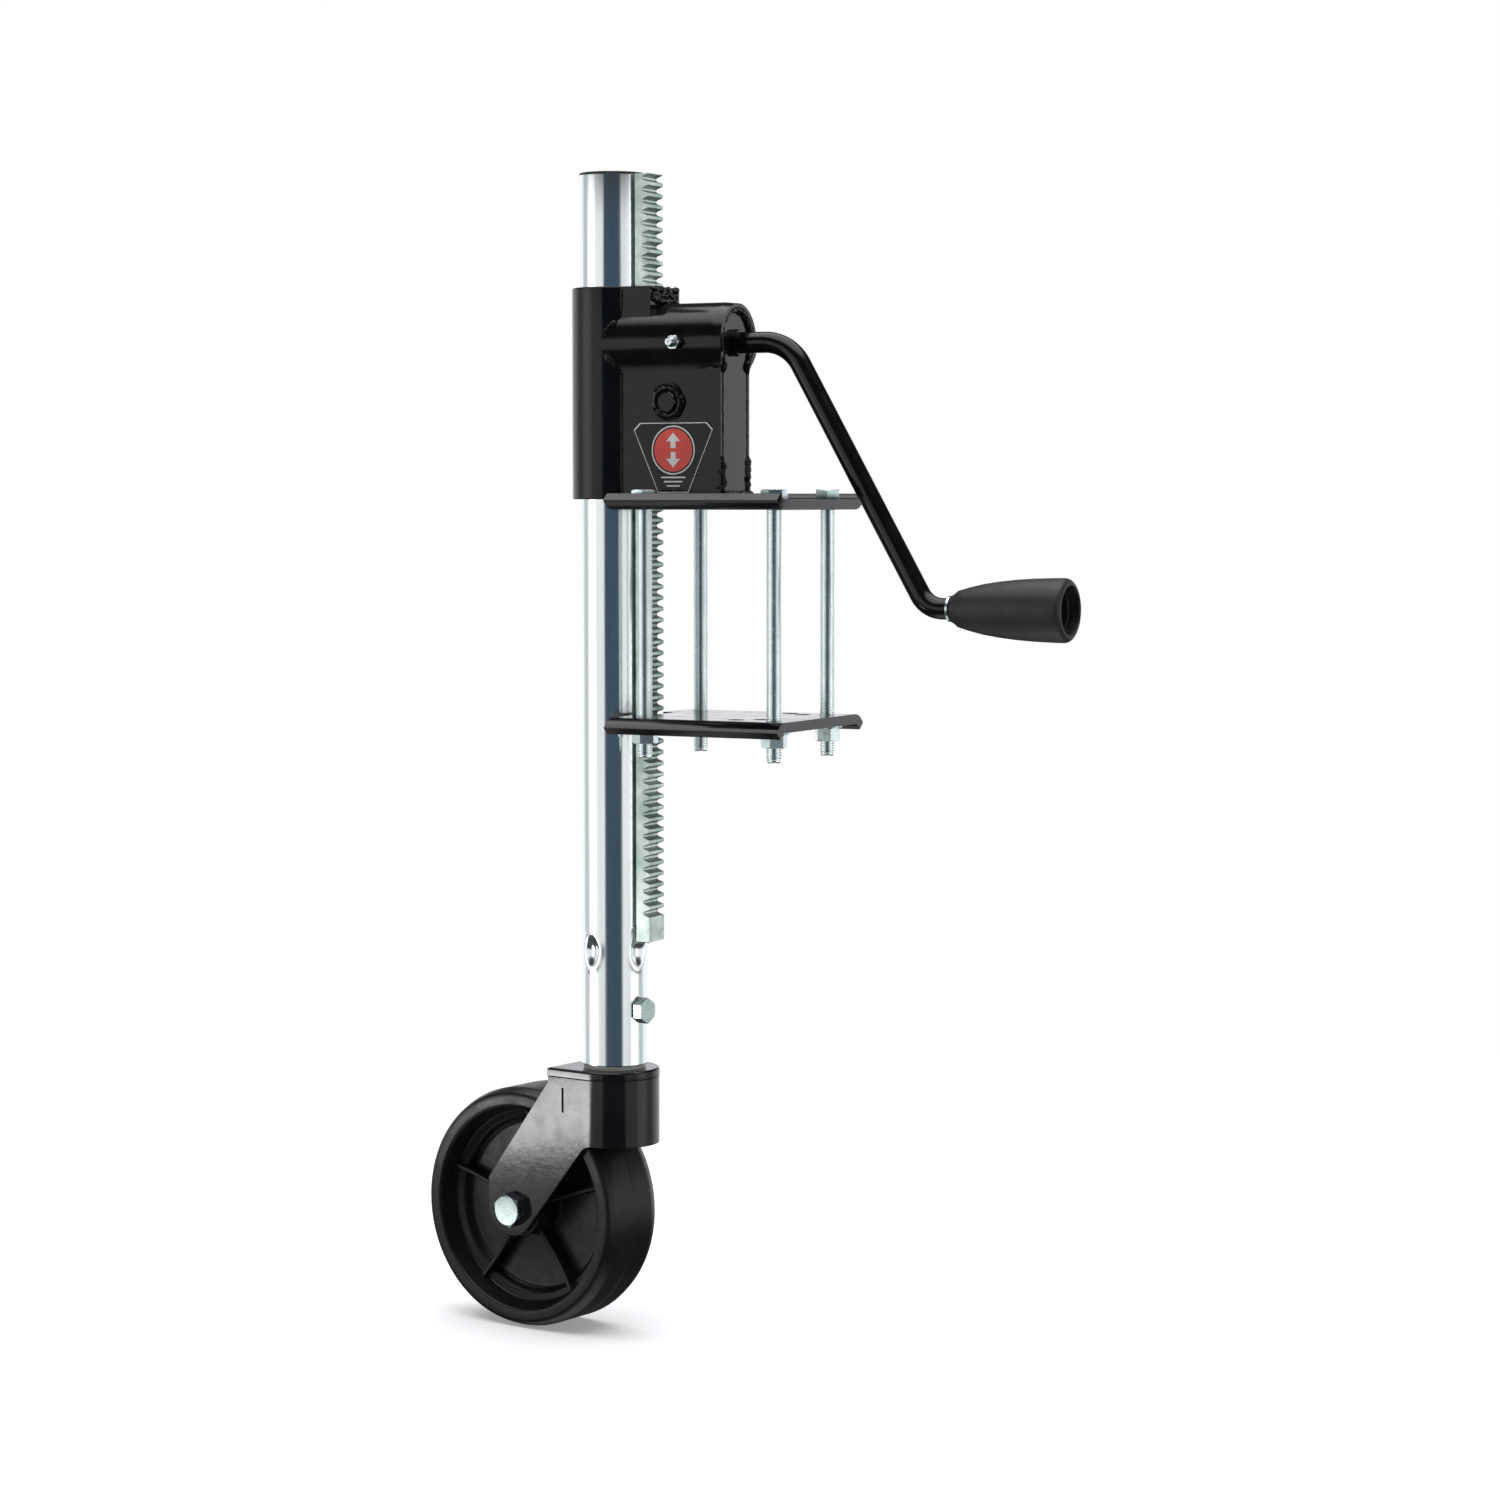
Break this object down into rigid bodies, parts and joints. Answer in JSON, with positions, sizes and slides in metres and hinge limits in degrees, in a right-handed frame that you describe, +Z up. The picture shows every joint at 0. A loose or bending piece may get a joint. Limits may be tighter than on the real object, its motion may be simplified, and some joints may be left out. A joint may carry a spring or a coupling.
{
  "type": "trailer tongue jack",
  "caption": "Bolt-through trailer tongue jack: toothed lift tube in a geared sleeve, side crank, bolted clamp plates and swivel caster wheel.",
  "frame": {"origin": "centre of the clamp's four-bolt pattern, on the underside of the upper clamp plate, where the trailer tongue's top bears", "axes": "+Z up along the lift tube, +X from the tube past the clamp towards the crank's grip, -Y the side with the label and the grease fitting"},
  "size_m": [0.4471, 0.12, 0.7311],
  "materials": {
    "black_powder_coat": "gloss",
    "guide_plastic": "satin",
    "bronze": "satin",
    "machined_steel": "satin",
    "zinc_hardware": "satin",
    "zinc_tube": "polished",
    "zinc_rack": "satin",
    "cap_plastic": "matte",
    "label_face": "gloss",
    "grip_plastic": "matte",
    "wheel_plastic": "satin"
  },
  "bodies": {
    "frame": {"outer_sleeve": "black_powder_coat", "upper_guide_bush": "guide_plastic", "lower_guide_bush": "guide_plastic", "gear_case_shell": "black_powder_coat", "rack_channel": "black_powder_coat", "case_end_plate": "black_powder_coat", "crank_bushing_inner": "bronze", "crank_bushing_outer": "black_powder_coat", "gear_axle_pin": "black_powder_coat", "pin_bosses": "black_powder_coat", "gear_side_spacers": "machined_steel", "grease_fitting": "zinc_hardware", "grease_fitting_ball": "machined_steel", "maker_label": "label_face", "upper_clamp_plate": "black_powder_coat", "lower_clamp_plate": "black_powder_coat", "clamp_bolts": "zinc_hardware", "clamp_nuts": "zinc_hardware", "clamp_washers": "zinc_hardware"},
    "lift_tube": {"inner_tube": "zinc_tube", "rack": "zinc_rack", "tube_cap": "cap_plastic", "stem_bearing_sleeve": "guide_plastic", "stem_retaining_bolt": "zinc_hardware"},
    "gear": {"drive_gear": "machined_steel", "gear_bushing": "bronze"},
    "crank": {"worm": "machined_steel", "worm_pin": "machined_steel", "crank_spacer": "machined_steel", "crank_thrust_washers": "bronze", "crank_handle": "black_powder_coat", "grip_washer": "zinc_hardware", "grip_retainer": "zinc_hardware"},
    "grip": {"crank_grip": "grip_plastic"},
    "caster": {"caster_fork": "black_powder_coat", "fork_cap_plate": "black_powder_coat", "caster_stem": "machined_steel", "swivel_thrust_washer": "guide_plastic", "axle_bolt": "zinc_hardware", "axle_nut": "zinc_hardware", "axle_spacers": "machined_steel"},
    "wheel": {"wheel": "wheel_plastic", "wheel_bushing": "bronze"}
  },
  "joints": [
    {"name": "crank_turn", "type": "hinge", "parent": "frame", "child": "crank", "pos_m": [0, 0, 0.102], "axis": [1, 0, 0], "range_deg": [-6250, 10938]},
    {"name": "tube_lift", "type": "slide", "parent": "frame", "child": "lift_tube", "axis": [0, 0, 1], "range_m": [-0.12, 0.21]},
    {"name": "gear_turn", "type": "hinge", "parent": "frame", "child": "gear", "pos_m": [-0.03735, 0, 0.0659], "axis": [0, 1, 0], "range_deg": [-360, 600]},
    {"name": "grip_spin", "type": "hinge", "parent": "crank", "child": "grip", "pos_m": [0.18265, 0, -0.059], "axis": [1, 0, 0], "continuous": true},
    {"name": "caster_swivel", "type": "hinge", "parent": "lift_tube", "child": "caster", "pos_m": [-0.08685, 0, -0.34], "axis": [0, 0, 1], "continuous": true},
    {"name": "wheel_spin", "type": "hinge", "parent": "caster", "child": "wheel", "pos_m": [-0.14657, 0.00967, -0.4457], "axis": [-0.1599, -0.9871, 0], "continuous": true}
  ],
  "couplings": [
    {"joint": "tube_lift", "follows": "crank_turn", "m_per_rad": 0.0011},
    {"joint": "gear_turn", "follows": "crank_turn", "ratio": 0.052632}
  ]
}
